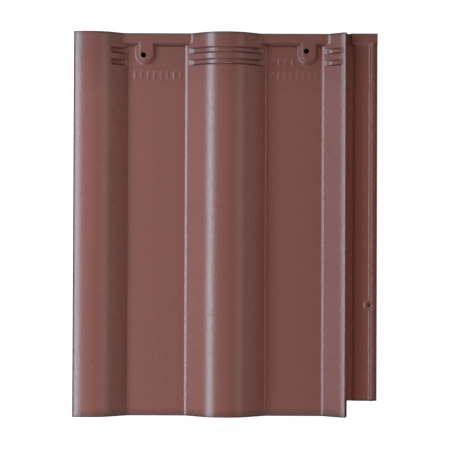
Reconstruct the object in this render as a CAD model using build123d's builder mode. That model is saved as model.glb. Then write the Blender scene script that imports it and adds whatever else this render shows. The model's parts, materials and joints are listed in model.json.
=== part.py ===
"""Interlocking double-roll roof tile, cast in one piece.  Millimetres.

Frame: origin under the middle of the tile, on the floor it rests on.
+X runs across the tile to the underlock, +Y up the slope to the head, +Z up.
"""
import os
from itertools import pairwise
from math import asin, atan2, cos, hypot, sin

from build123d import *

# ---- driving dimensions -------------------------------------------------
LENGTH = 420.0            # head to tail
ROLL_PITCH = 150.0        # crest to crest, half of the cover width
LAP = 16.0                # overlock and underlock each reach this far past a crest line
PAN_THICKNESS = 12.0
REST_DEPTH = 10.0         # nibs and tail bars below the pans

# rolls
ROLL_HALF_WIDTH = 43.75   # foot to crest line, at pan level
ROLL_RISE = 26.0          # crest above the pan
CREST_ROUNDNESS = 0.783   # crest radius against that of one arc through both feet and the crest
ROLL_THICKNESS = 11.5
FOOT_FILLET = 3.0
ARRIS_RADIUS = 1.5
HALF_ROLL_CUT = 19.0      # the half roll stops this far short of its crest line
HALF_ROLL_WALL_RUN = 2.5  # lean of the wall below that stop

# overlock, the thin flap on the left roll, from its crest line
FLAP_THICKNESS = 9.0
FLAP_REACH = 19.0
LIP_WIDTH = 4.0
LIP_LEVEL = 7.5           # underside of the lip above pan level

# underlock: levels above the pan, places from the crest line it lies under
GROOVE_LEVEL = 5.0
GROOVE_END = -10.5
FLOOR_LEVEL = 8.0
FLOOR_START = -7.5
BEAD_PLACE = 7.0
BEAD_HEIGHT = 1.2
RIB_PLACE = 10.4
RIB_WIDTH = 2.6
RIB_HEIGHT = 3.0
LEDGE_DROP = 1.0
UNDERLOCK_UNDERSIDE = -3.0
UNDERLOCK_SETBACK = 17.5  # from the tail edge to the underlock's own end

# head band and nail bosses
BAND_LENGTH = 10.5
BAND_HEIGHT = 4.5
BAND_SLOPE = 3.0
UNDERLOCK_BAND_HEIGHT = 3.5
BOSS_HALF_WIDTH = 12.0
BOSS_REACH = 35.0         # from the head edge to a boss's lower end
BOSS_TAPER = 45.0         # degrees

# holes: the nail holes are placed from the middle of their pan
NAIL_RADIUS = 3.0
LEFT_NAIL = (-15.8, 24.0)     # across, and down from the head edge
RIGHT_NAIL = (13.2, 19.3)
LEFT_BOSS = -13.0
RIGHT_BOSS = 15.7
CLIP_RADIUS = 2.0
CLIP_SINK_RADIUS = 3.4
CLIP_RING_RADIUS = 5.6
CLIP_RING_HEIGHT = 1.6        # above the underlock's floor
CLIP_FROM_TAIL = 122.5

# cross grooves on the rolls, down from the head edge
CROSS_GROOVES = ((16.0, 23.2), (29.3, 35.7))
CROSS_GROOVE_DEPTH = 2.4
CROSS_GROOVE_STOP = 24.5      # outer rolls: the grooves stop this far from the crest line

# nibs under the head, bars under the tail
NIB_WIDTH = 34.0
NIB_LENGTH = 13.0
NIB_DRAFT = 3.0               # lean of each side over the nib's depth
REST_ARRIS = 1.0              # chamfer round the faces that the tile rests on
BAR_LENGTH = 9.0
BAR_GAP = 12.0
BAR_COUNT = 2
BAR_SIDE_GAP = 2.0            # from a bar's end to the hollow under the roll

# ---- worked-out places --------------------------------------------------
PAN_TOP = REST_DEPTH + PAN_THICKNESS
HEAD = LENGTH / 2
TAIL = -LENGTH / 2
PAN_MIDDLES = (-ROLL_PITCH / 2, ROLL_PITCH / 2)
LEFT, MIDDLE, RIGHT = -ROLL_PITCH, 0.0, ROLL_PITCH   # crest lines
UNDER = -PAN_THICKNESS                               # underside of the pans, from the pan's top
BITE = 1.0                                           # added features start this deep in the tile

# A roll is an arc over its crest, with a straight flank from each foot that touches the arc.
CREST_RADIUS = CREST_ROUNDNESS * (ROLL_HALF_WIDTH**2 + ROLL_RISE**2) / (2 * ROLL_RISE)
CENTRE_DROP = CREST_RADIUS - ROLL_RISE
FLANK = asin(CREST_RADIUS / hypot(ROLL_HALF_WIDTH, CENTRE_DROP)) - atan2(CENTRE_DROP, ROLL_HALF_WIDTH)


def touch_offset(inset):
    """Offset from the crest line at which arc and flank meet, both moved in by inset."""
    return (CREST_RADIUS - inset) * sin(FLANK)


def flank_offset(height, inset):
    """Offset from the crest line at which the flank, moved in by inset, has a height above the pan."""
    return (CREST_RADIUS - inset - (CENTRE_DROP + height) * cos(FLANK)) / sin(FLANK)


def at(crest, offset, height):
    """Point of the cross-section, from a crest line and the pan's top."""
    return (crest + offset, PAN_TOP + height)


def on_roll(crest, offset, inset):
    """Point of the cross-section on a roll's line, moved in by inset."""
    radius = CREST_RADIUS - inset
    if abs(offset) < touch_offset(inset):
        return at(crest, offset, (radius**2 - offset**2) ** 0.5 - CENTRE_DROP)
    return at(crest, offset, (radius - abs(offset) * sin(FLANK)) / cos(FLANK) - CENTRE_DROP)


def roll_line(crest, inset, first, last):
    """Roll's line, moved in by inset, between two offsets: its flanks and crest arc as far as they go."""
    touch = touch_offset(inset)
    stops = [first, *(place for place in (-touch, touch) if first < place < last), last]
    for start, stop in pairwise(stops):
        middle = (start + stop) / 2
        if abs(middle) < touch:
            ThreePointArc(*(on_roll(crest, offset, inset) for offset in (start, middle, stop)))
        else:
            Line(on_roll(crest, start, inset), on_roll(crest, stop, inset))


# ---- cross-section, from head to tail -----------------------------------
INNER_FOOT = flank_offset(UNDER, ROLL_THICKNESS)
SHOULDER = flank_offset(UNDERLOCK_UNDERSIDE, ROLL_THICKNESS)
WALL_FOOT = -HALF_ROLL_CUT + HALF_ROLL_WALL_RUN
LIP_INNER = -LAP + LIP_WIDTH
LEDGE_LEVEL = FLOOR_LEVEL - LEDGE_DROP

with BuildPart() as roof_tile:
    with BuildSketch(Plane.XZ.offset(-HEAD)) as section:
        with BuildLine():
            # top of the left roll, the pans, the middle roll and the half roll
            roll_line(LEFT, 0, -LAP, ROLL_HALF_WIDTH)
            Line(at(LEFT, ROLL_HALF_WIDTH, 0), at(MIDDLE, -ROLL_HALF_WIDTH, 0))
            roll_line(MIDDLE, 0, -ROLL_HALF_WIDTH, ROLL_HALF_WIDTH)
            Line(at(MIDDLE, ROLL_HALF_WIDTH, 0), at(RIGHT, -ROLL_HALF_WIDTH, 0))
            roll_line(RIGHT, 0, -ROLL_HALF_WIDTH, -HALF_ROLL_CUT)
            # underlock: wall, side groove, floor, bead, rib, ledge and underside
            Polyline(
                on_roll(RIGHT, -HALF_ROLL_CUT, 0),
                at(RIGHT, WALL_FOOT, GROOVE_LEVEL),
                at(RIGHT, GROOVE_END, GROOVE_LEVEL),
                at(RIGHT, FLOOR_START, FLOOR_LEVEL),
                at(RIGHT, BEAD_PLACE - BEAD_HEIGHT, FLOOR_LEVEL),
                at(RIGHT, BEAD_PLACE, FLOOR_LEVEL + BEAD_HEIGHT),
                at(RIGHT, BEAD_PLACE + BEAD_HEIGHT, FLOOR_LEVEL),
                at(RIGHT, RIB_PLACE - RIB_WIDTH / 2, FLOOR_LEVEL + RIB_HEIGHT),
                at(RIGHT, RIB_PLACE + RIB_WIDTH / 2, FLOOR_LEVEL + RIB_HEIGHT),
                at(RIGHT, RIB_PLACE + RIB_WIDTH, LEDGE_LEVEL),
                at(RIGHT, LAP, LEDGE_LEVEL),
                at(RIGHT, LAP, UNDERLOCK_UNDERSIDE),
                at(RIGHT, -SHOULDER, UNDERLOCK_UNDERSIDE),
                at(RIGHT, -INNER_FOOT, UNDER),
                at(MIDDLE, INNER_FOOT, UNDER),
            )
            # underside of the middle roll, the left pan, the left roll, its flap and lip
            roll_line(MIDDLE, ROLL_THICKNESS, -INNER_FOOT, INNER_FOOT)
            Line(at(MIDDLE, -INNER_FOOT, UNDER), at(LEFT, INNER_FOOT, UNDER))
            roll_line(LEFT, ROLL_THICKNESS, FLAP_REACH, INNER_FOOT)
            Line(on_roll(LEFT, FLAP_REACH, ROLL_THICKNESS), on_roll(LEFT, FLAP_REACH, FLAP_THICKNESS))
            roll_line(LEFT, FLAP_THICKNESS, LIP_INNER, FLAP_REACH)
            Polyline(
                on_roll(LEFT, LIP_INNER, FLAP_THICKNESS),
                at(LEFT, LIP_INNER, LIP_LEVEL),
                at(LEFT, -LAP, LIP_LEVEL),
                on_roll(LEFT, -LAP, 0),
            )
        make_face()
        feet = section.vertices().filter_by(
            lambda v: abs(v.Y - PAN_TOP) < 0.01 and abs(v.X) < ROLL_PITCH
        )
        fillet(feet, FOOT_FILLET)
        arrises = [
            section.vertices().sort_by_distance(Vector(*place))[0]
            for place in (on_roll(LEFT, -LAP, 0), on_roll(RIGHT, -HALF_ROLL_CUT, 0), at(RIGHT, LAP, LEDGE_LEVEL))
        ]
        fillet(arrises, ARRIS_RADIUS)
    extrude(amount=LENGTH)

    # hanging nibs under the head, one to a pan, upright on the side that bears on the batten
    for middle in PAN_MIDDLES:
        with BuildSketch(Plane.XZ.offset(-HEAD)):
            with BuildLine():
                half = NIB_WIDTH / 2
                Polyline(
                    (middle - half, REST_DEPTH + BITE),
                    (middle + half, REST_DEPTH + BITE),
                    (middle + half, REST_DEPTH),
                    (middle + half - NIB_DRAFT, 0),
                    (middle - half + NIB_DRAFT, 0),
                    (middle - half, REST_DEPTH),
                    close=True,
                )
            make_face()
        extrude(amount=NIB_LENGTH)

    # tail bars, across the underside of each pan
    bar_width = ROLL_PITCH - 2 * INNER_FOOT - 2 * BAR_SIDE_GAP
    with BuildSketch(Plane.XY):
        for middle in PAN_MIDDLES:
            for index in range(BAR_COUNT):
                with Locations((middle, TAIL + index * (BAR_LENGTH + BAR_GAP))):
                    Rectangle(bar_width, BAR_LENGTH, align=(Align.CENTER, Align.MIN))
    extrude(amount=REST_DEPTH + BITE)

    # soften the arrises that the tile rests on
    chamfer(roof_tile.edges().group_by(Axis.Z)[0], REST_ARRIS)

    # the underlock stops short of the tail
    with BuildSketch(Plane.XY):
        with Locations((RIGHT + WALL_FOOT, TAIL)):
            Rectangle(2 * LAP + HALF_ROLL_CUT, UNDERLOCK_SETBACK, align=(Align.MIN, Align.MIN))
    extrude(amount=PAN_TOP + ROLL_RISE, mode=Mode.SUBTRACT)

    # head band, across each pan from wall to wall of its rolls, and across the underlock
    wall_middle = flank_offset(BAND_HEIGHT / 2, ROLL_THICKNESS / 2)
    spans = [
        (LEFT + wall_middle, MIDDLE - wall_middle, 0.0, BAND_HEIGHT),
        (MIDDLE + wall_middle, RIGHT - wall_middle, 0.0, BAND_HEIGHT),
        (RIGHT + GROOVE_END, RIGHT + LAP, GROOVE_LEVEL, FLOOR_LEVEL + UNDERLOCK_BAND_HEIGHT),
    ]
    for start, stop, low, high in spans:
        with BuildSketch(Plane.YZ.offset(start)):
            with BuildLine():
                Polyline(
                    (HEAD, PAN_TOP + low - BITE),
                    (HEAD, PAN_TOP + high),
                    (HEAD - BAND_LENGTH, PAN_TOP + high),
                    (HEAD - BAND_LENGTH - BAND_SLOPE, PAN_TOP + low),
                    (HEAD - BAND_LENGTH - BAND_SLOPE, PAN_TOP + low - BITE),
                    close=True,
                )
            make_face()
        extrude(amount=stop - start)

    # nail bosses run down from the band, with round lower ends and sloped sides
    boss_straight = BOSS_REACH - BOSS_HALF_WIDTH - BAND_SLOPE
    with BuildSketch(Plane.XY.offset(PAN_TOP)):
        for middle, across in zip(PAN_MIDDLES, (LEFT_BOSS, RIGHT_BOSS)):
            with Locations((middle + across, HEAD - BAND_SLOPE)):
                Rectangle(2 * BOSS_HALF_WIDTH, boss_straight, align=(Align.CENTER, Align.MAX))
            with Locations((middle + across, HEAD - BOSS_REACH + BOSS_HALF_WIDTH)):
                Circle(BOSS_HALF_WIDTH)
    extrude(amount=BAND_HEIGHT, taper=BOSS_TAPER)

    # cross grooves follow the rolls and run out flat at their feet
    for near, far in CROSS_GROOVES:
        for crest, first, last in (
            (LEFT, CROSS_GROOVE_STOP, ROLL_HALF_WIDTH),
            (MIDDLE, -ROLL_HALF_WIDTH, ROLL_HALF_WIDTH),
            (RIGHT, -ROLL_HALF_WIDTH, -CROSS_GROOVE_STOP),
        ):
            with BuildSketch(Plane.XZ.offset(near - HEAD)):
                with BuildLine():
                    flat_start = flank_offset(0, CROSS_GROOVE_DEPTH)
                    roll_line(crest, CROSS_GROOVE_DEPTH, -flat_start, flat_start)
                    Polyline(
                        at(crest, flat_start, 0),
                        at(crest, ROLL_HALF_WIDTH, 0),
                        at(crest, ROLL_HALF_WIDTH, ROLL_RISE + BITE),
                        at(crest, -ROLL_HALF_WIDTH, ROLL_RISE + BITE),
                        at(crest, -ROLL_HALF_WIDTH, 0),
                        at(crest, -flat_start, 0),
                    )
                make_face()
                with Locations(at(crest, first, 0)):
                    Rectangle(
                        last - first, ROLL_RISE + BITE, align=(Align.MIN, Align.MIN), mode=Mode.INTERSECT
                    )
            extrude(amount=far - near, mode=Mode.SUBTRACT)

    # clip hole in the underlock, in a low ring that interrupts the bead and the rib
    clip = (RIGHT + BEAD_PLACE, TAIL + CLIP_FROM_TAIL)
    ring_top = PAN_TOP + FLOOR_LEVEL + CLIP_RING_HEIGHT
    with BuildSketch(Plane.XY.offset(ring_top)) as ring:
        with Locations(clip):
            Circle(CLIP_RING_RADIUS)
    extrude(ring.sketch, amount=RIB_HEIGHT, mode=Mode.SUBTRACT)
    extrude(ring.sketch, amount=-CLIP_RING_HEIGHT - LEDGE_DROP - BITE)
    with Locations((*clip, ring_top)):
        CounterSinkHole(CLIP_RADIUS, CLIP_SINK_RADIUS)

    # nail holes, through boss and pan
    for middle, (across, down) in zip(PAN_MIDDLES, (LEFT_NAIL, RIGHT_NAIL)):
        with Locations((middle + across, HEAD - down, PAN_TOP + BAND_HEIGHT)):
            Hole(NAIL_RADIUS)

roof_tile.part.label = "roof_tile"

os.makedirs("parts", exist_ok=True)
export_step(roof_tile.part, "parts/roof_tile.step")
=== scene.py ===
"""Interlocking double-roll roof tile of coated concrete, lying on a plain pale floor.

Metres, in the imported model's own frame: +X across the tile to the underlock, +Y up the
slope to the head, +Z up.  The tile is one closed skin: an upper and a lower height, each
a function of x and y on one grid, joined by its edges and by the walls of its holes.
"""
from __future__ import annotations

import json
import logging
from dataclasses import dataclass
from enum import Enum
from itertools import pairwise

import bpy
import numpy as np
from mathutils import Matrix, Vector

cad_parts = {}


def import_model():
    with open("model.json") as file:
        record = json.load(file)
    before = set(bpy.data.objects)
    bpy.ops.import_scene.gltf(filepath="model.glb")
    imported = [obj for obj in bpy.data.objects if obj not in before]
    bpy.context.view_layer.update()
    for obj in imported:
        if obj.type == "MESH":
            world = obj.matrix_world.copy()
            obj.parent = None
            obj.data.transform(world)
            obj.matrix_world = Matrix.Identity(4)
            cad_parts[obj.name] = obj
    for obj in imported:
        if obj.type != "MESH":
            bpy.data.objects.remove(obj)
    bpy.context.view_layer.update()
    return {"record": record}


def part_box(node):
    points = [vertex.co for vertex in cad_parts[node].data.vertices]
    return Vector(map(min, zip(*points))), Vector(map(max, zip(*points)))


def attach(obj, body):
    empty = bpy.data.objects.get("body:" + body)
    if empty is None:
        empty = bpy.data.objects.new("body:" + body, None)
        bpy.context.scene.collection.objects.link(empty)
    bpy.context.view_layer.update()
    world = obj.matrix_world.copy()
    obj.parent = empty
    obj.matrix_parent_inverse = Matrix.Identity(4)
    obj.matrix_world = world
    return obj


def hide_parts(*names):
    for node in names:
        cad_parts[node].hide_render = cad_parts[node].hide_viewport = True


MM = 0.001
NODE = "roof_tile"
SHARP_ANGLE = 50.0

log = logging.getLogger("roof_tile")


# ---- shape helpers ------------------------------------------------------------------


def ramp(value: np.ndarray, start: float, run: float) -> np.ndarray:
    """Height share that rises from 0 at start to 1 over a run, in a straight line.

    Args:
        value: Places along the axis that the ramp rises on.
        start: Place where it leaves 0.
        run: Length of the rise; a negative run rises the other way.

    Returns:
        An array of shares from 0 to 1.
    """
    return np.clip((value - start) / run, 0.0, 1.0)


def blend_max(first: np.ndarray, second: np.ndarray, reach: float) -> np.ndarray:
    """Larger of two heights, with the corner between them filled by a parabola.

    Args:
        first: One height.
        second: The other height.
        reach: Height difference within which the fill works.

    Returns:
        The larger height plus the fill, which is reach / 4 deep in the corner.
    """
    share = np.maximum(reach - np.abs(first - second), 0.0) / reach
    return np.maximum(first, second) + share**2 * reach / 4.0


def rounding(depth: np.ndarray, radius: float) -> np.ndarray:
    """Drop of a quarter-round arris: radius at the edge itself, nothing a radius inside it.

    Args:
        depth: Distance inside the edge.
        radius: Radius of the arris.

    Returns:
        radius less the height of a circle of that radius at each depth.
    """
    inside = np.clip(depth, 0.0, radius)
    return radius - np.sqrt(radius**2 - (radius - inside) ** 2)


def arris_depths(radius: float, count: int = 5) -> list[float]:
    """Distances inside an edge at which even steps of a quarter-round arris lie."""
    turns = np.linspace(0.0, np.pi / 2, count)
    return [float(radius * (1.0 - np.cos(turn))) for turn in turns]


@dataclass(frozen=True)
class GridSteps:
    """Longest gaps between the skin's grid lines, and how far down the finer head part goes."""

    across: float = 2.7 * MM
    across_boss: float = 1.4 * MM
    along: float = 12.0 * MM
    along_head: float = 3.6 * MM
    along_boss: float = 1.2 * MM
    head_part: float = 60.0 * MM
    below_boss: float = 1.0 * MM


@dataclass(frozen=True)
class Zone:
    """Stretch of an axis whose grid lines stand closer than the rest."""

    low: float
    high: float
    step: float


def grid_lines(places: list[float], zones: list[Zone], step: float) -> np.ndarray:
    """Grid lines along one axis, one through every given place.

    Zones start and end on a line too.  The gap between two neighbouring lines is divided
    evenly, into parts no longer than the smallest step of the zones that its middle lies in.

    Args:
        places: Places that a line must pass through.
        zones: Stretches with a finer step.
        step: Step outside every zone.

    Returns:
        The lines' places in rising order.
    """
    merge = 0.02 * MM
    bounds = [end for zone in zones for end in (zone.low, zone.high) if min(places) < end < max(places)]
    ordered = np.unique(np.round(np.array(places + bounds), 7))
    kept = ordered[np.concatenate([[True], np.diff(ordered) > merge])]
    parts = []
    for low, high in pairwise(kept):
        middle = (low + high) / 2
        finest = min([step] + [zone.step for zone in zones if zone.low < middle < zone.high])
        count = max(1, int(np.ceil((high - low) / finest - 1e-6)))
        parts.append(np.linspace(low, high, count, endpoint=False))
    return np.concatenate(parts + [kept[-1:]])


# ---- sections of the tile -------------------------------------------------------------


@dataclass(frozen=True)
class Roll:
    """Section of a roll: an arc over the crest and, from each foot, a flank that touches it."""

    half_width: float = 43.75 * MM
    rise: float = 26.0 * MM
    roundness: float = 0.783

    @property
    def radius(self) -> float:
        """Crest radius, a share of that of one arc through both feet and the crest."""
        return self.roundness * (self.half_width**2 + self.rise**2) / (2 * self.rise)

    @property
    def drop(self) -> float:
        """Depth of the arc's centre below pan level."""
        return self.radius - self.rise

    @property
    def slope(self) -> float:
        """Angle of the flank, of the straight line from the foot that touches the arc."""
        lean = np.arctan2(self.drop, self.half_width)
        return float(np.arcsin(self.radius / np.hypot(self.half_width, self.drop)) - lean)

    def height(self, offset: np.ndarray, inset: np.ndarray | float = 0.0) -> np.ndarray:
        """Height above the pan: the circle's between its touching points, the flank's beyond.

        Args:
            offset: Distance from the crest line, of either sign.
            inset: How far the surface is moved in, square to itself.

        Returns:
            Heights, which go on falling below the pan past the foot.
        """
        radius = self.radius - inset
        away = np.abs(offset)
        arc = np.sqrt(np.maximum(radius**2 - away**2, 0.0)) - self.drop
        flank = (radius - away * np.sin(self.slope)) / np.cos(self.slope) - self.drop
        return np.where(away < radius * np.sin(self.slope), arc, flank)

    def foot(self, level: float, inset: float) -> float:
        """Offset at which the flank, moved in by inset, comes down to a level."""
        fall = (self.drop + level) * np.cos(self.slope)
        return float((self.radius - inset - fall) / np.sin(self.slope))


@dataclass(frozen=True)
class Underlock:
    """Side channel that the next tile laps, from the crest line it lies under."""

    cut: float = -19.3 * MM
    wall_foot: float = -16.5 * MM
    arris_reach: float = 2.5 * MM
    groove_end: float = -11.2 * MM
    groove: float = 5.0 * MM
    floor_start: float = -8.3 * MM
    floor: float = 8.0 * MM
    bead: float = 7.4 * MM
    bead_height: float = 0.9 * MM
    rib: float = 10.2 * MM
    rib_width: float = 2.2 * MM
    rib_height: float = 3.0 * MM
    ledge: float = 7.0 * MM
    underside: float = -3.0 * MM
    setback: float = 17.5 * MM

    def wall(self, roll: Roll, offset: np.ndarray) -> np.ndarray:
        """Height of the line that leads from the roll's cut to the wall's foot."""
        fall = float(roll.height(np.array(self.cut))) - self.groove
        return self.groove + fall * (offset - self.wall_foot) / (self.cut - self.wall_foot)

    def points(self, roll: Roll, lap: float) -> np.ndarray:
        """Corner points of the channel, left to right, as offsets and heights above the pan.

        Args:
            roll: The roll whose cut side the channel starts from.
            lap: Offset of the tile's edge.

        Returns:
            An array of two columns.
        """
        half = self.rib_width / 2
        return np.array(
            [
                (self.cut, float(roll.height(np.array(self.cut)))),
                (self.wall_foot, self.groove),
                (self.groove_end, self.groove),
                (self.floor_start, self.floor),
                (self.bead - self.bead_height, self.floor),
                (self.bead, self.floor + self.bead_height),
                (self.bead + self.bead_height, self.floor),
                (self.rib - half, self.floor + self.rib_height),
                (self.rib + half, self.floor + self.rib_height),
                (self.rib + self.rib_width, self.ledge),
                (lap, self.ledge),
            ]
        )


@dataclass(frozen=True)
class Overlock:
    """Thin flap on the left roll that laps the next tile, from its crest line."""

    thickness: float = 9.0 * MM
    reach: float = 19.0 * MM
    lip_width: float = 4.0 * MM
    lip_level: float = 7.5 * MM


@dataclass(frozen=True)
class HeadBand:
    """Raised band across the head of the pans and of the underlock."""

    length: float = 10.5 * MM
    slope: float = 3.0 * MM
    height: float = 5.2 * MM
    underlock_level: float = 10.0 * MM
    underlock_start: float = -13.6 * MM
    underlock_lean: float = 1.2 * MM


@dataclass(frozen=True)
class NailBoss:
    """Pad round a nail hole that runs down from the head band, with a round lower end."""

    across: float
    half_width: float = 12.0 * MM
    reach: float = 35.0 * MM

    def height(self, x: np.ndarray, y: np.ndarray, head: float, limit: float) -> np.ndarray:
        """Height above the pan: the distance inside the pad's outline, up to a limit.

        The outline is a strip with a half circle at its lower end, so the sides slope at
        45 degrees all round.

        Args:
            x: Places across the tile.
            y: Places along the tile.
            head: Place of the head edge.
            limit: Height of the flat top.

        Returns:
            Heights from 0 to the limit.
        """
        below = np.minimum(y - (head - self.reach + self.half_width), 0.0)
        inside = self.half_width - np.hypot(x - self.across, below)
        return np.clip(inside, 0.0, limit)


@dataclass(frozen=True)
class CrossGrooves:
    """Two shallow grooves across the rolls, near the head."""

    starts: tuple[float, float] = (16.1 * MM, 29.0 * MM)
    widths: tuple[float, float] = (6.9 * MM, 6.7 * MM)
    depth: float = 2.4 * MM
    stop: float = 24.5 * MM
    lean: float = 0.8 * MM
    end_level: float = 3.2 * MM
    end_ease: float = 1.6 * MM

    def share(self, down: np.ndarray) -> np.ndarray:
        """Depth share across the grooves: the square root of 1 - u**4, with u from -1 to 1.

        Args:
            down: Distances from the head edge.

        Returns:
            Shares from 0 outside the grooves to 1 on their middle lines.
        """
        total = np.zeros_like(down)
        for start, width in zip(self.starts, self.widths):
            across = np.clip(2 * (down - start) / width - 1, -1.0, 1.0)
            total = total + np.sqrt(1 - across**4)
        return total

    def rows(self) -> list[float]:
        """Distances from the head at which the grooves need a grid line."""
        steps = np.array([-1.0, -0.985, -0.94, -0.85, -0.7, -0.4, 0.0, 0.4, 0.7, 0.85, 0.94, 0.985, 1.0])
        return [
            float(start + width * (1 + step) / 2)
            for start, width in zip(self.starts, self.widths)
            for step in steps
        ]


@dataclass(frozen=True)
class TallyRow:
    """Row of plain upright ticks, raised on a pan."""

    pan: int
    first: float
    last: float
    near: float
    far: float
    count: int
    width: float = 2.0 * MM
    height: float = 0.45 * MM
    bends: tuple[float, ...] = (-0.67, -0.33, 0.33, 0.67)

    def centres(self, middle: float) -> np.ndarray:
        """Places of the ticks across the tile, evenly spaced."""
        return middle + np.linspace(self.first, self.last, self.count)

    def columns(self, middle: float) -> list[float]:
        """Places across the tile where a tick's sides bend, as shares of its width."""
        return [centre + share * self.width for centre in self.centres(middle) for share in self.bends]


@dataclass(frozen=True)
class Rests:
    """Nibs under the head and bars under the tail, one set to a pan."""

    depth: float = 10.0 * MM
    nib_half_width: float = 17.0 * MM
    nib_length: float = 13.0 * MM
    nib_lean: float = 3.0 * MM
    bar_length: float = 9.0 * MM
    bar_gap: float = 12.0 * MM
    bar_count: int = 2
    bar_side_gap: float = 2.0 * MM
    lean: float = 0.3 * MM


class HoleKind(Enum):
    """How the mouth of a hole is finished."""

    PLAIN = "plain"
    COUNTERSUNK = "countersunk"


@dataclass(frozen=True)
class Hole:
    """Round hole through the tile, with the half side of the grid block that it sits in."""

    x: float
    y: float
    radius: float
    kind: HoleKind
    block: float = 4.4 * MM
    surround: float = 7.0 * MM
    step: float = 1.1 * MM
    approach: int = 4
    rim: float = 0.4 * MM
    sink_radius: float = 3.4 * MM
    sink_depth: float = 1.6 * MM

    def rings(self, top: float, bottom: float) -> list[tuple[float, float | None]]:
        """Rings of the hole from the upper skin to the lower one.

        Args:
            top: Height of the upper skin at the hole.
            bottom: Height of the lower skin at the hole.

        Returns:
            Radius and height of each ring; a height of None lies on the skin.
        """
        rim, radius = self.rim, self.radius
        if self.kind is HoleKind.COUNTERSUNK:
            mouth = [(self.sink_radius, None), (radius, top - self.sink_depth)]
        else:
            mouth = [(radius + rim, None), (radius + rim * 0.3, top - rim * 0.3), (radius, top - rim)]
        return mouth + [(radius, bottom + rim), (radius + rim, None)]


# ---- the tile ---------------------------------------------------------------------------


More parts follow.
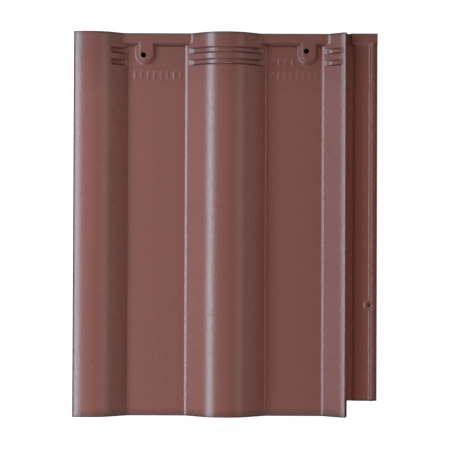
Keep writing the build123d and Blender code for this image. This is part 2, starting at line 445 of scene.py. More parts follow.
@dataclass
class RoofTile:
    """The whole tile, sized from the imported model's box and mounts."""

    low: Vector
    high: Vector
    mounts: dict[str, dict]
    roll: Roll = Roll()
    underlock: Underlock = Underlock()
    overlock: Overlock = Overlock()
    band: HeadBand = HeadBand()
    grooves: CrossGrooves = CrossGrooves()
    rests: Rests = Rests()
    steps: GridSteps = GridSteps()
    bosses: tuple[NailBoss, ...] = (NailBoss(-88.0 * MM), NailBoss(90.7 * MM))
    tallies: tuple[TallyRow, ...] = (
        TallyRow(0, -25 * MM, 25 * MM, 41.5 * MM, 50.5 * MM, 8),
        TallyRow(1, -24 * MM, -2 * MM, 27.5 * MM, 35.0 * MM, 4),
        TallyRow(1, -24 * MM, 24 * MM, 42.7 * MM, 50.4 * MM, 8),
    )
    lap: float = 16.0 * MM
    pan_thickness: float = 12.0 * MM
    roll_thickness: float = 11.5 * MM
    foot_fill: float = 0.8 * MM
    foot_level: float = 0.6 * MM
    foot_slope: float = 0.48
    crease: float = 0.4 * MM
    edge_arris: float = 1.5 * MM
    ring_radius: float = 5.6 * MM
    ring_height: float = 1.6 * MM
    ring_slope: float = 0.8 * MM
    # Painted shade along the outline's arris and in sharp hollows, and a plain darkening towards the head:
    # widths, reach and thresholds.
    painted_shade_edge: float = 2.7 * MM
    head_darkening: tuple[float, float, float] = (70.0 * MM, 50.0 * MM, 0.20)
    painted_shade_reach: float = 1.3 * MM
    painted_shade_step: tuple[float, float] = (0.35 * MM, 0.9 * MM)
    painted_shade_across: tuple[float, float] = (0.75 * MM, 1.3 * MM)

    # -- places

    @property
    def pitch(self) -> float:
        """Distance between crest lines."""
        return self.high.x - self.lap

    @property
    def pan_top(self) -> float:
        """Level of the pans' upper side."""
        return self.high.z - self.roll.rise

    @property
    def pan_middles(self) -> tuple[float, float]:
        """Places of the two pans' middles."""
        return -self.pitch / 2, self.pitch / 2

    @property
    def holes(self) -> list[Hole]:
        """The nail holes and the clip hole, where the record's mounts put them."""
        made = []
        for name, kind in (
            ("nail_hole_left", HoleKind.PLAIN),
            ("nail_hole_right", HoleKind.PLAIN),
            ("clip_hole", HoleKind.COUNTERSUNK),
        ):
            mount = self.mounts[name]
            x, y, _ = mount["pos_m"]
            made.append(Hole(x, y, mount["dims"]["r_mm"] * MM, kind))
        return made

    # -- heights

    def crest_offset(self, x: np.ndarray) -> np.ndarray:
        """Distance from the nearest crest line, with its sign."""
        return x - self.pitch * np.round(x / self.pitch)

    def grooved_rolls(self, x: np.ndarray, y: np.ndarray) -> np.ndarray:
        """Rolls with the cross grooves pressed in, which stop short of the outer rolls' sides.

        A groove follows the roll at its depth until it comes down near the pan; there its
        floor levels out, and so it ends where the flank drops to that level.

        Args:
            x: Places across the tile.
            y: Places along the tile.

        Returns:
            Heights above the pan.
        """
        grooves, offset = self.grooves, self.crest_offset(x)
        stops = np.minimum(
            ramp(x, -self.pitch + grooves.stop, grooves.lean),
            ramp(x, self.pitch - grooves.stop, -grooves.lean),
        )
        whole = self.roll.height(offset)
        sunk = self.roll.height(offset, grooves.depth * grooves.share(self.high.y - y) * stops)
        floor = blend_max(sunk, np.full_like(x, grooves.end_level), grooves.end_ease)
        return np.minimum(whole, floor)

    def foot_facet(self, x: np.ndarray) -> np.ndarray:
        """Height of the narrow slope that eases a roll's left foot into the pan."""
        offset = self.crest_offset(x)
        slope = self.foot_level + self.foot_slope * (self.roll.half_width + offset)
        return np.where(offset < 0, slope, 0.0)

    def sharp_top(self, x: np.ndarray, y: np.ndarray) -> np.ndarray:
        """Upper height above the pan, before its creases and arrises are eased.

        It is the largest of the pan, the rolls less their grooves, their feet's facets, the
        head band and the bosses, cut by the half roll's wall; right of the wall's foot it is
        the underlock's own section, which the head band levels.

        Args:
            x: Places across the tile.
            y: Places along the tile.

        Returns:
            Heights above the pan.
        """
        lock, band = self.underlock, self.band
        rolls = blend_max(self.grooved_rolls(x, y), np.zeros_like(x), self.foot_fill)
        height = np.maximum(rolls, self.foot_facet(x))
        at_head = ramp(y, self.high.y - band.length - band.slope, band.slope)
        height = np.maximum(height, band.height * at_head)
        for boss in self.bosses:
            height = np.maximum(height, boss.height(x, y, self.high.y, band.height))
        height = height + self.tally_relief(x, y)
        offset = x - self.pitch
        height = -blend_max(-height, -lock.wall(self.roll, offset), lock.arris_reach)
        points = lock.points(self.roll, self.lap)
        channel = np.interp(offset, points[:, 0], points[:, 1])
        filled = at_head * ramp(offset, band.underlock_start, band.underlock_lean)
        channel = channel + (band.underlock_level - channel) * filled
        channel = self.with_clip_ring(x, y, channel)
        return np.where(offset > lock.wall_foot, channel, height)

    def with_clip_ring(self, x: np.ndarray, y: np.ndarray, channel: np.ndarray) -> np.ndarray:
        """Channel height with a flat round pad about the clip hole, eased into what it meets.

        Args:
            x: Places across the tile.
            y: Places along the tile.
            channel: Height of the channel's section.

        Returns:
            The pad's level inside its radius, the channel's outside it.
        """
        clip = self.mounts["clip_hole"]["pos_m"]
        away = np.hypot(x - clip[0], y - clip[1])
        share = ramp(away, self.ring_radius + self.ring_slope / 2, -self.ring_slope)
        return channel + (self.underlock.floor + self.ring_height - channel) * share

    def tally_relief(self, x: np.ndarray, y: np.ndarray) -> np.ndarray:
        """Raised ticks: a trapezoid across and along each one.

        Args:
            x: Places across the tile.
            y: Places along the tile.

        Returns:
            Heights to add to the pan.
        """
        relief = np.zeros_like(x)
        down = self.high.y - y
        for row in self.tallies:
            side = row.width / 3
            centres = row.centres(self.pan_middles[row.pan])
            away = np.abs(x[..., None] - centres).min(axis=-1)
            across = ramp(away, row.width / 2 + side / 2, -side)
            along = np.minimum(ramp(down, row.near, side), ramp(down, row.far, -side))
            relief = np.maximum(relief, row.height * across * along)
        return relief

    def edge_depth(self, x: np.ndarray, y: np.ndarray) -> np.ndarray:
        """Distance inside the outline, which steps back where the underlock stops.

        Args:
            x: Places across the tile.
            y: Places along the tile.

        Returns:
            The larger of the distances inside the two rectangles that make the outline.
        """
        step_x, step_y = self.step
        long_part = np.minimum.reduce([x - self.low.x, step_x - x, y - self.low.y, self.high.y - y])
        wide_part = np.minimum.reduce([x - self.low.x, self.high.x - x, y - step_y, self.high.y - y])
        return np.maximum(long_part, wide_part)

    @property
    def step(self) -> tuple[float, float]:
        """Inner corner of the outline, where the underlock stops short of the tail."""
        return self.pitch + self.underlock.wall_foot, self.low.y + self.underlock.setback

    def top(self, x: np.ndarray, y: np.ndarray) -> np.ndarray:
        """Upper surface: the sharp one averaged over a crease's width, less the edge's arris.

        Args:
            x: Places across the tile.
            y: Places along the tile.

        Returns:
            Heights above the floor.
        """
        total = np.zeros_like(x)
        for step_x, share_x in ((-1, 0.25), (0, 0.5), (1, 0.25)):
            for step_y, share_y in ((-1, 0.25), (0, 0.5), (1, 0.25)):
                moved = self.sharp_top(x + step_x * self.crease, y + step_y * self.crease)
                total += share_x * share_y * moved
        arris = rounding(self.edge_depth(x, y), self.edge_arris)
        return np.minimum(self.pan_top + total - arris, self.high.z)

    def grime(self, x: np.ndarray, y: np.ndarray) -> np.ndarray:
        """Share of painted shade along the outline's arris and in sharp hollows, and of a plain darkening
        towards the head.

        A hollow is where the mean height a little way off on both sides is well above the
        height itself; across the tile it takes a greater difference than along it.

        Args:
            x: Places across the tile.
            y: Places along the tile.

        Returns:
            Shares from 0 to 1.
        """
        here, reach = self.top(x, y), self.painted_shade_reach
        along = (self.top(x, y - reach) + self.top(x, y + reach)) / 2 - here
        across = (self.top(x - reach, y) + self.top(x + reach, y)) / 2 - here
        inside = self.edge_depth(x, y) > reach
        on_rolls = x < self.pitch + self.underlock.cut - 2 * reach
        # Painted shade in sharp hollows, where shade falls.
        hollow = np.maximum(
            ramp(along, self.painted_shade_step[0], self.painted_shade_step[1] - self.painted_shade_step[0]),
            ramp(across, self.painted_shade_across[0], self.painted_shade_across[1] - self.painted_shade_across[0]) * on_rolls,
        )
        # A plain darkening towards the head.
        start, run, share = self.head_darkening
        head = share * ramp(y, self.high.y - start, run)
        # Painted shade along the outline's arris.
        edge = ramp(self.edge_depth(x, y), self.painted_shade_edge, -self.painted_shade_edge)
        return np.maximum.reduce([np.where(inside, hollow, 0.0), edge, head])

    def under(self, x: np.ndarray, y: np.ndarray) -> np.ndarray:
        """Lower surface: pans, hollow rolls, thin flap and lip, shoulder, nibs and bars.

        Args:
            x: Places across the tile.
            y: Places along the tile.

        Returns:
            Heights above the floor.
        """
        lock, flap, offset = self.underlock, self.overlock, self.crest_offset(x)
        pan = -self.pan_thickness
        height = np.maximum(self.roll.height(offset, self.roll_thickness), pan)
        from_left = x + self.pitch
        height = np.where(from_left < flap.reach, self.roll.height(offset, flap.thickness), height)
        lip = ramp(from_left, flap.lip_width - self.lap, self.rests.lean)
        height = np.where(from_left < 0, flap.lip_level + (height - flap.lip_level) * lip, height)
        right = x > self.pitch - self.roll.half_width
        height = np.where(right, np.minimum(height, lock.underside), height)
        height = np.where(x > self.pitch - self.roll.foot(lock.underside, self.roll_thickness),
                          lock.underside, height)
        height = height - self.rest_depth(x, y)
        return self.pan_top + height

    def rest_depth(self, x: np.ndarray, y: np.ndarray) -> np.ndarray:
        """Depth of the nibs and tail bars below the pans.

        Each is the distance inside its outline against the lean of its sides, up to the
        full depth.

        Args:
            x: Places across the tile.
            y: Places along the tile.

        Returns:
            Depths, nothing between the rests.
        """
        rests = self.rests
        depth = np.zeros_like(x)
        half_bar = self.bar_half_width
        for middle in self.pan_middles:
            away = np.abs(x - middle)
            side = np.minimum((rests.nib_half_width - away) / rests.nib_lean, 1.0)
            front = np.minimum((y - self.high.y + rests.nib_length) / rests.lean, 1.0)
            depth = np.maximum(depth, rests.depth * np.clip(np.minimum(side, front), 0.0, 1.0))
            for index in range(rests.bar_count):
                start = self.low.y + index * (rests.bar_length + rests.bar_gap)
                near = (y - start) / rests.lean if index else np.ones_like(y)
                far = (start + rests.bar_length - y) / rests.lean
                share = np.minimum.reduce([(half_bar - away) / rests.lean, near, far])
                depth = np.maximum(depth, rests.depth * np.clip(share, 0.0, 1.0))
        return depth

    @property
    def bar_half_width(self) -> float:
        """Half the length of a tail bar across its pan."""
        hollow = self.roll.foot(-self.pan_thickness, self.roll_thickness)
        return self.pitch / 2 - hollow - self.rests.bar_side_gap

    # -- grid

    def columns(self) -> np.ndarray:
        """Grid lines across the tile: through every crease that runs along it."""
        roll, lock, flap, rests = self.roll, self.underlock, self.overlock, self.rests
        places = [self.low.x + depth for depth in arris_depths(self.edge_arris)]
        places += [self.high.x - depth for depth in arris_depths(self.edge_arris)]
        inner = roll.foot(-self.pan_thickness, self.roll_thickness)
        facet_out = roll.half_width + self.foot_level / self.foot_slope
        facet_in = roll.half_width - self.foot_level / (np.tan(roll.slope) - self.foot_slope)
        for crest in (-self.pitch, 0.0, self.pitch):
            for side in (-1, 1):
                outer = [bend + step * self.crease for bend in (facet_out, facet_in) for step in (-1, 0, 1)]
                stops = [self.grooves.stop - self.grooves.lean, self.grooves.stop]
                for offset in outer + stops + [inner, roll.radius * np.sin(roll.slope)]:
                    places.append(crest + side * offset)
        lip = -self.pitch - self.lap + flap.lip_width
        places += [lip, lip + rests.lean, -self.pitch + flap.reach, -self.pitch + flap.reach - rests.lean]
        for middle in self.pan_middles:
            for half in (rests.nib_half_width, rests.nib_half_width - rests.nib_lean,
                         self.bar_half_width, self.bar_half_width - rests.lean):
                places += [middle - half, middle + half]
        turns = [float(offset) for offset, _ in lock.points(roll, self.lap)]
        turns += [self.band.underlock_start, self.band.underlock_start + self.band.underlock_lean]
        for offset in turns:
            places += [self.pitch + offset + step * self.crease for step in (-1, 0, 1)]
        places += [self.pitch + lock.cut + step * self.crease for step in (-6, -5, -4, -3, -2, 2, 3, 4, 5)]
        places.append(self.pitch - roll.foot(lock.underside, self.roll_thickness))
        places.append(self.step[0])
        places += [self.step[0] - depth for depth in arris_depths(self.edge_arris)]
        for row in self.tallies:
            places += row.columns(self.pan_middles[row.pan])
        zones = [Zone(boss.across - boss.half_width, boss.across + boss.half_width, self.steps.across_boss)
                 for boss in self.bosses]
        for hole in self.holes:
            places += [hole.x - hole.block, hole.x + hole.block]
            zones.append(Zone(hole.x - hole.surround, hole.x + hole.surround, hole.step))
        allowed = [place for place in places if self.low.x <= place <= self.high.x]
        return self.clear_of_blocks(grid_lines(allowed, zones, self.steps.across), 0)

    def rows(self) -> np.ndarray:
        """Grid lines along the tile: through every crease that runs across it."""
        band, rests, grooves = self.band, self.rests, self.grooves
        head, tail = self.high.y, self.low.y
        places = [tail + depth for depth in arris_depths(self.edge_arris)]
        places += [head - depth for depth in arris_depths(self.edge_arris)]
        places += [head - down for down in grooves.rows()]
        ends = [band.length, band.length + band.slope]
        for start, width in zip(grooves.starts, grooves.widths):
            ends += [start, start + width]
        for row in self.tallies:
            side = row.width / 3
            ends += [row.near, row.near + side, row.far - side, row.far]
        for down in ends:
            places += [head - down - self.crease, head - down, head - down + self.crease]
        places += [head - rests.nib_length, head - rests.nib_length + rests.lean]
        for index in range(rests.bar_count):
            start = tail + index * (rests.bar_length + rests.bar_gap)
            places += [start, start + rests.lean]
            places += [start + rests.bar_length - rests.lean, start + rests.bar_length]
        places += [self.step[1] + depth for depth in arris_depths(self.edge_arris)]
        reach = max(boss.reach for boss in self.bosses)
        steps = self.steps
        zones = [Zone(head - reach - steps.below_boss, head - band.length, steps.along_boss),
                 Zone(head - steps.head_part, head, steps.along_head)]
        for hole in self.holes:
            places += [hole.y - hole.block, hole.y + hole.block]
            zones.append(Zone(hole.y - hole.surround, hole.y + hole.surround, hole.step))
        return self.clear_of_blocks(grid_lines(places, zones, self.steps.along), 1)

    def clear_of_blocks(self, lines: np.ndarray, axis: int) -> np.ndarray:
        """Lines without those that pass so near a block's edge that slivers would result."""
        near = 0.05 * MM
        kept = np.ones(len(lines), bool)
        for hole in self.holes:
            centre = (hole.x, hole.y)[axis]
            for edge in (centre - hole.block, centre + hole.block):
                gap = np.abs(lines - edge)
                kept &= ~((gap > 1e-7) & (gap < near))
        return lines[kept]


@dataclass
class Skin:
    """Closed mesh under construction: the two heights on one grid, their edges and holes."""

    tile: RoofTile

    def build(self) -> tuple[np.ndarray, np.ndarray, np.ndarray]:
        """Works out the whole closed surface.

        The grid's upper and lower sheets come first.  Cells past the underlock's end are
        left out, and so are the blocks that the holes sit in.  Every edge of the outline
        gets a wall, and every block a stack of rings from one sheet to the other.

        Returns:
            Vertices, quads, and for each vertex 1 on the upper sheet and 0 on the lower.
        """
        tile = self.tile
        xs, ys = tile.columns(), tile.rows()
        grid_x, grid_y = np.meshgrid(xs, ys)
        upper = np.stack([grid_x, grid_y, tile.top(grid_x, grid_y)], axis=-1).reshape(-1, 3)
        lower = np.stack([grid_x, grid_y, tile.under(grid_x, grid_y)], axis=-1).reshape(-1, 3)
        index = np.arange(grid_x.size).reshape(grid_x.shape)
        middle_x = (grid_x[:-1, :-1] + grid_x[1:, 1:]) / 2
        middle_y = (grid_y[:-1, :-1] + grid_y[1:, 1:]) / 2
        inside = tile.edge_depth(middle_x, middle_y) > 0
        solid = inside.copy()
        for hole in tile.holes:
            solid &= np.maximum(abs(middle_x - hole.x), abs(middle_y - hole.y)) > hole.block
        count = grid_x.size
        cells = np.stack([index[:-1, :-1], index[:-1, 1:], index[1:, 1:], index[1:, :-1]], axis=-1)
        top_faces = cells[solid]
        faces = [top_faces, top_faces[:, ::-1] + count, self.outline_walls(index, inside, count)]
        vertices = [upper, lower]
        coated = [np.ones(count), np.zeros(count)]
        total = 2 * count
        for hole in tile.holes:
            points, quads, coat = self.hole_rings(hole, xs, ys, index, count, total)
            vertices.append(points)
            faces.append(quads)
            coated.append(coat)
            total += len(points)
        return self.without_loose(np.concatenate(vertices), np.concatenate(faces), np.concatenate(coated))

    def outline_walls(self, index: np.ndarray, inside: np.ndarray, count: int) -> np.ndarray:
        """Wall quads below every grid edge that has a cell on one side only.

        Args:
            index: Vertex numbers of the upper sheet.
            inside: Which cells lie inside the outline.
            count: Vertices in one sheet, the step from an upper vertex to its lower one.

        Returns:
            An array of quads that face outwards.
        """
        padded = np.pad(inside, 1)
        walls = []
        for (rows, columns), first, second in (
            ((slice(0, -2), slice(1, -1)), index[:-1, :-1], index[:-1, 1:]),
            ((slice(1, -1), slice(2, None)), index[:-1, 1:], index[1:, 1:]),
            ((slice(2, None), slice(1, -1)), index[1:, 1:], index[1:, :-1]),
            ((slice(1, -1), slice(0, -2)), index[1:, :-1], index[:-1, :-1]),
        ):
            edge = inside & ~padded[rows, columns]
            start, end = first[edge], second[edge]
            walls.append(np.stack([end, start, start + count, end + count], axis=-1))
        return np.concatenate(walls)

    def hole_rings(
        self, hole: Hole, xs: np.ndarray, ys: np.ndarray, index: np.ndarray, count: int, total: int
    ) -> tuple[np.ndarray, np.ndarray, np.ndarray]:
        """Rings that carry the upper sheet down through a hole to the lower sheet.

        Each ring has one point towards every grid vertex round the block.  The first few
        pass evenly from the block's square outline to the mouth's round one.

        Args:
            hole: The hole.
            xs: Grid lines across the tile.
            ys: Grid lines along the tile.
            index: Vertex numbers of the upper sheet.
            count: Vertices in one sheet.
            total: Number of the first new vertex.

        Returns:
            New vertices, quads, and the new vertices' coating shares.
        """
        tile = self.tile
        sides = (-hole.block, hole.block)
        left, right = (int(np.abs(xs - hole.x - side).argmin()) for side in sides)
        south, north = (int(np.abs(ys - hole.y - side).argmin()) for side in sides)
        loop = np.concatenate(
            [
                index[south, left:right],
                index[south:north, right],
                index[north, right:left:-1],
                index[north:south:-1, left],
            ]
        )
        grid_y, grid_x = np.unravel_index(loop, index.shape)
        turn = np.arctan2(ys[grid_y] - hole.y, xs[grid_x] - hole.x)
        centre = np.array([hole.x]), np.array([hole.y])
        rings = hole.rings(float(tile.top(*centre)[0]), float(tile.under(*centre)[0]))
        numbers, points, coat = [loop], [], []
        for share in np.arange(1, hole.approach) / hole.approach:
            x = (1 - share) * xs[grid_x] + share * (hole.x + rings[0][0] * np.cos(turn))
            y = (1 - share) * ys[grid_y] + share * (hole.y + rings[0][0] * np.sin(turn))
            points.append(np.stack([x, y, tile.top(x, y)], axis=-1))
            coat.append(np.ones(len(loop)))
        for place, (radius, height) in enumerate(rings):
            x, y = hole.x + radius * np.cos(turn), hole.y + radius * np.sin(turn)
            if height is None:
                surface = tile.under if place == len(rings) - 1 else tile.top
                z = surface(x, y)
            else:
                z = np.full_like(x, height)
            points.append(np.stack([x, y, z], axis=-1))
            coat.append(np.full(len(x), 1.0 if place < len(rings) - 2 else 0.0))
        numbers += [total + place * len(loop) + np.arange(len(loop)) for place in range(len(points))]
        numbers.append(loop + count)
        quads = [
            np.stack([outer, np.roll(outer, -1), np.roll(inner, -1), inner], axis=-1)
            for outer, inner in pairwise(numbers)
        ]
        return np.concatenate(points), np.concatenate(quads), np.concatenate(coat)

    @staticmethod
    def without_loose(
        vertices: np.ndarray, faces: np.ndarray, coated: np.ndarray
    ) -> tuple[np.ndarray, np.ndarray, np.ndarray]:
        """The same surface with the vertices that no face uses left out."""
        used, renumbered = np.unique(faces, return_inverse=True)
        return vertices[used], renumbered.reshape(faces.shape), coated[used]


def make_mesh(name: str, vertices: np.ndarray, faces: np.ndarray) -> bpy.types.Object:
    """Puts vertices and quads into a new smooth-shaded object at the origin.

    Args:
        name: Name of the object and its mesh.
        vertices: Points in metres.
        faces: Vertex numbers of the quads.

    Returns:
        The new object, in the scene.
    """
    mesh = bpy.data.meshes.new(name)
    mesh.from_pydata(vertices.tolist(), [], faces.tolist())
    mesh.validate()
    mesh.shade_smooth()
    mesh.set_sharp_from_angle(angle=np.radians(SHARP_ANGLE))
    piece = bpy.data.objects.new(name, mesh)
    bpy.context.scene.collection.objects.link(piece)
    return piece


# ---- finishes ---------------------------------------------------------------------------


@dataclass
class Nodes:
    """Short way to add and join shader nodes."""

    material: bpy.types.Material

    def __post_init__(self) -> None:
        """Empties the material's tree."""
        self.material.use_nodes = True
        self.material.node_tree.nodes.clear()

    def add(self, kind: str, **settings: object) -> bpy.types.Node:
        """Adds a node; a setting sets the socket of that name, or else the node's own field.

        Args:
            kind: Type of the node.
            **settings: Values, with underscores for the spaces in a socket's name.

        Returns:
            The node.
        """
        node = self.material.node_tree.nodes.new(kind)
        for name, value in settings.items():
            socket = node.inputs.get(name.replace("_", " "))
            if socket is not None and not hasattr(node, name):
                socket.default_value = value
            else:
                setattr(node, name, value)
        return node

    def join(self, source: bpy.types.NodeSocket, target: bpy.types.NodeSocket) -> None:
        """Links an output to an input."""
        self.material.node_tree.links.new(source, target)

    def noise(self, scale: float, detail: float, roughness: float = 0.5) -> bpy.types.NodeSocket:
        """Noise over object coordinates, from 0 to 1.

        Args:
            scale: Features to a metre.
            detail: Number of finer layers.
            roughness: Strength of each finer layer.

        Returns:
            The noise's output.
        """
        place = self.add("ShaderNodeTexCoord")
        node = self.add("ShaderNodeTexNoise", Scale=scale, Detail=detail, Roughness=roughness)
        self.join(place.outputs["Object"], node.inputs["Vector"])
        return node.outputs["Fac"]

    def spread(self, source: bpy.types.NodeSocket, span: tuple[float, float],
               to: tuple[float, float]) -> bpy.types.NodeSocket:
        """Maps a value from one span to another, held at its ends.

        Args:
            source: The value.
            span: Values that map to the ends.
            to: The ends.

        Returns:
            The mapped value.
        """
        node = self.add("ShaderNodeMapRange", clamp=True)
        for name, value in zip(("From Min", "From Max", "To Min", "To Max"), span + to):
            node.inputs[name].default_value = value
        self.join(source, node.inputs["Value"])
        return node.outputs["Result"]

    def mix(self, share: bpy.types.NodeSocket, first: object, second: object) -> bpy.types.NodeSocket:
        """Mixes two colours, each given as a socket or as a value.

        Args:
            share: How much of the second.
            first: The first colour.
            second: The second colour.

        Returns:
            The mixed colour.
        """
        node = self.add("ShaderNodeMix", data_type="RGBA")
        self.join(share, node.inputs["Factor"])
        for socket, value in zip((node.inputs[6], node.inputs[7]), (first, second)):
            if isinstance(value, bpy.types.NodeSocket):
                self.join(value, socket)
            else:
                socket.default_value = (*value, 1.0)
        return node.outputs[2]

    def bump(self, height: bpy.types.NodeSocket, depth: float, strength: float,
             before: bpy.types.NodeSocket | None = None) -> bpy.types.NodeSocket:
        """Bump from a height.

        Args:
            height: Height from 0 to 1.
            depth: Real depth of that range in metres.
            strength: Share of it that shows.
            before: Normal of a bump that this one adds to.

        Returns:
            The bent normal.
        """
        node = self.add("ShaderNodeBump", Distance=depth, Strength=strength)
        self.join(height, node.inputs["Height"])
        if before is not None:
            self.join(before, node.inputs["Normal"])
        return node.outputs["Normal"]


@dataclass(frozen=True)
class CoatedConcrete:
    """Concrete with a satin coloured coat on its weather side, bare underneath."""

    name: str = "coated_concrete"
    coat: tuple[float, float, float] = (0.334, 0.110, 0.083)
    coat_cool: tuple[float, float, float] = (0.326, 0.109, 0.084)
    coat_dark: tuple[float, float, float] = (0.185, 0.060, 0.047)
    # Near-black colour of the painted shade, and the largest share of it.
    painted_shading: tuple[float, float, float] = (0.030, 0.014, 0.013)
    painted_shading_share: float = 0.94
    bare: tuple[float, float, float] = (0.330, 0.205, 0.165)
    bare_sand: tuple[float, float, float] = (0.480, 0.370, 0.310)
    roughness: tuple[float, float] = (0.27, 0.28)
    specular: float = 0.6
    mottle: float = 26.0
    grain: float = 700.0
    orange_peel: float = 420.0
    sand: float = 420.0
    ragged: float = 180.0
    bare_roughness: float = 0.88
    speck_share: float = 0.35
    peel_share: float = 0.10
    peel_depth: float = 0.16 * MM
    grain_depth: float = 0.16 * MM
    pit_depth: float = 0.35 * MM

    def material(self) -> bpy.types.Material:
        """Builds the shader: a coat and bare concrete, parted by the mesh's coat attribute.

        Returns:
            The material.
        """
        nodes = Nodes(bpy.data.materials.new(self.name))
        share = self.coat_share(nodes)
        mottle = nodes.noise(self.mottle, 2.0, 0.5)
        grain = nodes.noise(self.grain, 2.0)
        sand = nodes.noise(self.sand, 3.0, 0.65)
        colour = nodes.mix(nodes.spread(mottle, (0.25, 0.75), (0.0, 0.7)), self.coat, self.coat_cool)
        specks = nodes.spread(grain, (0.30, 0.42), (self.speck_share, 0.0))
        colour = nodes.mix(specks, colour, self.coat_dark)
        # Painted shade: darkens the coat along edges, in hollows and towards the head, by the mesh's
        # attribute.
        grime = nodes.add("ShaderNodeAttribute", attribute_name="grime")
        painted_shading = nodes.spread(grime.outputs["Fac"], (0.0, 1.0), (0.0, self.painted_shading_share))
        colour = nodes.mix(painted_shading, colour, self.painted_shading)
        bare = nodes.mix(nodes.spread(sand, (0.45, 0.70), (0.0, 0.8)), self.bare, self.bare_sand)
        shader = nodes.add("ShaderNodeBsdfPrincipled")
        shader.inputs["Specular IOR Level"].default_value = self.specular
        gloss = nodes.spread(mottle, (0.3, 0.7), self.roughness)
        nodes.join(self.part(nodes, share, self.bare_roughness, gloss), shader.inputs["Roughness"])
        peel = nodes.noise(self.orange_peel, 2.0)
        colour = nodes.mix(nodes.spread(peel, (0.35, 0.65), (0.0, self.peel_share)), colour, self.coat_dark)
        fine = nodes.bump(peel, self.peel_depth, 0.6, nodes.bump(grain, self.grain_depth, 0.9))
        nodes.join(nodes.mix(share, bare, colour), shader.inputs["Base Color"])
        pits = nodes.bump(sand, self.pit_depth, 0.6)
        normal = nodes.add("ShaderNodeMix", data_type="VECTOR")
        nodes.join(share, normal.inputs["Factor"])
        nodes.join(pits, normal.inputs[4])
        nodes.join(fine, normal.inputs[5])
        nodes.join(normal.outputs[1], shader.inputs["Normal"])
        output = nodes.add("ShaderNodeOutputMaterial")
        nodes.join(shader.outputs["BSDF"], output.inputs["Surface"])
        return nodes.material

    def coat_share(self, nodes: Nodes) -> bpy.types.NodeSocket:
        """Share of the coat: the mesh's attribute, with a ragged edge where it runs out."""
        attribute = nodes.add("ShaderNodeAttribute", attribute_name="coat")
        ragged = nodes.spread(nodes.noise(self.ragged, 3.0), (0.2, 0.8), (-0.25, 0.25))
        total = nodes.add("ShaderNodeMath", operation="ADD")
        nodes.join(attribute.outputs["Fac"], total.inputs[0])
        nodes.join(ragged, total.inputs[1])
        return nodes.spread(total.outputs["Value"], (0.42, 0.58), (0.0, 1.0))

    @staticmethod
    def part(nodes: Nodes, share: bpy.types.NodeSocket, bare: float,
             coated: bpy.types.NodeSocket) -> bpy.types.NodeSocket:
        """Mixes a plain value for the bare concrete with a socket's value for the coat."""
        node = nodes.add("ShaderNodeMix", data_type="FLOAT")
        nodes.join(share, node.inputs["Factor"])
        node.inputs[2].default_value = bare
        nodes.join(coated, node.inputs[3])
        return node.outputs[0]


@dataclass(frozen=True)
class WhiteFloor:
    """Plain floor, all but white in the open; its glow is left out under the tile as a painted shadow."""

    name: str = "white_floor"
    glow: float = 0.96
    tone: float = 0.30

    def material(self) -> bpy.types.Material:
        """Builds the shader: a pale grey plus a glow where the open attribute is 1.

        Returns:
            The material.
        """
        nodes = Nodes(bpy.data.materials.new(self.name))
        shader = nodes.add("ShaderNodeBsdfPrincipled", Roughness=0.9)
        shader.inputs["Base Color"].default_value = (self.tone, self.tone, self.tone, 1.0)
        shader.inputs["Emission Color"].default_value = (1.0, 1.0, 1.0, 1.0)
        attribute = nodes.add("ShaderNodeAttribute", attribute_name="open")
        glow = nodes.spread(attribute.outputs["Fac"], (0.0, 1.0), (0.0, self.glow))
        nodes.join(glow, shader.inputs["Emission Strength"])
        output = nodes.add("ShaderNodeOutputMaterial")
        nodes.join(shader.outputs["BSDF"], output.inputs["Surface"])
        return nodes.material


# ---- stage ------------------------------------------------------------------------------


@dataclass(frozen=True)
class SoftBox:
    """Rectangular area light that looks at the tile's middle, its length along the tile."""

    name: str
    bearing: float
    tilt: float
    distance: float
    width: float
    length: float
    power: float
    colour: tuple[float, float, float]

    def place(self, target: Vector) -> None:
        """Adds the light, which the camera doesn't see.

        Its direction is tilted from straight up towards a bearing, counted anticlockwise
        from +X.

        Args:
            target: Point it looks at.
        """
        data = bpy.data.lights.new(self.name, "AREA")
        data.shape = "RECTANGLE"
        data.size = self.width
        data.size_y = self.length
        data.energy = self.power
        data.color = self.colour
        tilt, bearing = np.radians(self.tilt), np.radians(self.bearing)
        away = Vector((np.sin(tilt) * np.cos(bearing), np.sin(tilt) * np.sin(bearing), np.cos(tilt)))
        across = Vector((0.0, 1.0, 0.0)).cross(away).normalized()
        turned = Matrix((across, away.cross(across), away)).transposed().to_4x4()
        turned.translation = target + away * self.distance
        lamp = bpy.data.objects.new(self.name, data)
        lamp.matrix_world = turned
        lamp.visible_camera = False
        bpy.context.scene.collection.objects.link(lamp)


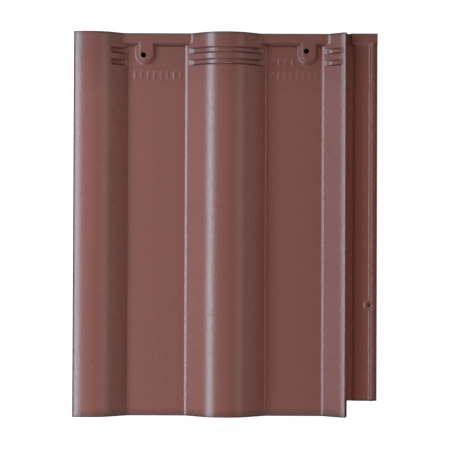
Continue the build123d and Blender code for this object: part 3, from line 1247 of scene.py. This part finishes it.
@dataclass(frozen=True)
class Studio:
    """Floor, lights, world and camera round the tile."""

    floor_half: float = 6.0
    shade_inset: float = 5.0 * MM
    focal: float = 152.0
    camera_height: float = 2.0884
    camera_turn: float = 0.23
    camera_aim: tuple[float, float] = (-0.5 * MM, -0.5 * MM)
    camera_back: float = 30.4 * MM
    lights: tuple[SoftBox, ...] = (
        SoftBox("strip", 180.0, 52.5, 0.53, 0.16, 1.5, 5.0, (0.50, 0.80, 1.0)),
        SoftBox("key", 180.0, 50.0, 1.8, 0.6, 1.4, 6.6, (0.94, 0.96, 0.97)),
        SoftBox("head", 90.0, 40.0, 1.8, 0.9, 0.9, 4.4, (1.0, 0.96, 0.92)),
        SoftBox("tail", 270.0, 40.0, 1.8, 0.9, 0.9, 4.0, (1.0, 0.96, 0.92)),
        SoftBox("right", 0.0, 47.0, 1.8, 0.8, 1.4, 3.3, (1.0, 0.97, 0.94)),
        SoftBox("right_strip", 0.0, 60.0, 0.6, 0.25, 1.5, 0.35, (0.90, 0.95, 1.0)),
        SoftBox("right_low", 0.0, 80.0, 0.6, 0.10, 1.5, 0.5, (1.0, 0.97, 0.95)),
    )

    def build(self, tile: RoofTile) -> None:
        """Adds everything that isn't the tile.

        Args:
            tile: The tile's sizes, which the floor's shaded patch and the aim come from.
        """
        low, high = tile.low, tile.high
        self.add_floor((low.x, tile.step[1]), (high.x, high.y), low.z)
        target = Vector(((low.x + high.x) / 2, (low.y + high.y) / 2, tile.pan_top))
        for light in self.lights:
            light.place(target)
        self.add_world()
        self.add_camera(target)
        bpy.context.scene.view_settings.view_transform = "Standard"

    def add_floor(self, low: tuple[float, float], high: tuple[float, float], level: float) -> None:
        """Adds the floor, whose glow fades out just inside a patch under the tile, leaving a painted shadow
        there.

        It takes no part in lighting the tile.

        Args:
            low: Lower corner of the patch.
            high: Upper corner of it.
            level: Height of the floor.
        """
        lines = [
            np.array([-self.floor_half, start, start + self.shade_inset,
                      end - self.shade_inset, end, self.floor_half])
            for start, end in zip(low, high)
        ]
        grid_x, grid_y = np.meshgrid(*lines)
        index = np.arange(grid_x.size).reshape(grid_x.shape)
        corners = np.stack([grid_x, grid_y, np.full_like(grid_x, level)], axis=-1).reshape(-1, 3)
        cells = np.stack([index[:-1, :-1], index[:-1, 1:], index[1:, 1:], index[1:, :-1]], axis=-1)
        floor = make_mesh("floor", corners, cells.reshape(-1, 4))
        open_share = np.ones(grid_x.shape, np.float32)
        # Painted shadow: no glow on the patch under the tile.
        open_share[2:4, 2:4] = 0.0
        share = floor.data.attributes.new("open", "FLOAT", "POINT")
        share.data.foreach_set("value", open_share.ravel())
        floor.data.materials.append(WhiteFloor().material())
        floor.visible_diffuse = False
        floor.visible_glossy = False

    def add_world(self) -> None:
        """Adds a white world that the camera sees and that lights nothing."""
        world = bpy.data.worlds.new("studio")
        world.use_nodes = True
        background = world.node_tree.nodes["Background"]
        background.inputs["Color"].default_value = (1.0, 1.0, 1.0, 1.0)
        background.inputs["Strength"].default_value = 1.0
        world.cycles_visibility.diffuse = False
        world.cycles_visibility.glossy = False
        bpy.context.scene.world = world

    def add_camera(self, target: Vector) -> None:
        """Adds the camera, which looks straight down but for a slight lean from the tail side."""
        data = bpy.data.cameras.new("camera")
        data.lens = self.focal
        data.clip_end = 50.0
        aim = target + Vector((*self.camera_aim, 0.0))
        camera = bpy.data.objects.new("camera", data)
        camera.location = aim + Vector((0.0, -self.camera_back, self.camera_height))
        lean = float(np.arctan2(self.camera_back, self.camera_height))
        camera.rotation_euler = (lean, 0.0, float(np.radians(self.camera_turn)))
        bpy.context.scene.collection.objects.link(camera)
        bpy.context.scene.camera = camera


# ---- the whole --------------------------------------------------------------------------


def make_tile(frame: dict) -> RoofTile:
    """Builds the tile's skin in place of the plain node and dresses it.


    Returns:
        The tile's sizes.
    """
    low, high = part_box(NODE)
    mounts = {mount["name"]: mount for mount in frame["record"]["mounts"]}
    tile = RoofTile(low, high, mounts)
    vertices, faces, coated = Skin(tile).build()
    piece = make_mesh("tile_skin", vertices, faces)
    # Share of painted shade for each vertex, kept off the bare underside.
    painted_shade_share = tile.grime(vertices[:, 0], vertices[:, 1]) * coated
    for name, values in (("coat", coated), ("grime", painted_shade_share)):
        attribute = piece.data.attributes.new(name, "FLOAT", "POINT")
        attribute.data.foreach_set("value", values.astype(np.float32))
    piece.data.materials.append(CoatedConcrete().material())
    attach(piece, "root")
    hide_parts(NODE)
    log.info("tile skin: %d vertices, %d quads", len(vertices), len(faces))
    return tile


def main() -> None:
    """Builds the tile and its studio in order."""
    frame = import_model()
    tile = make_tile(frame)
    Studio().build(tile)


if __name__ == "__main__":
    logging.basicConfig(level=logging.INFO, format="%(name)s: %(message)s")
    main()
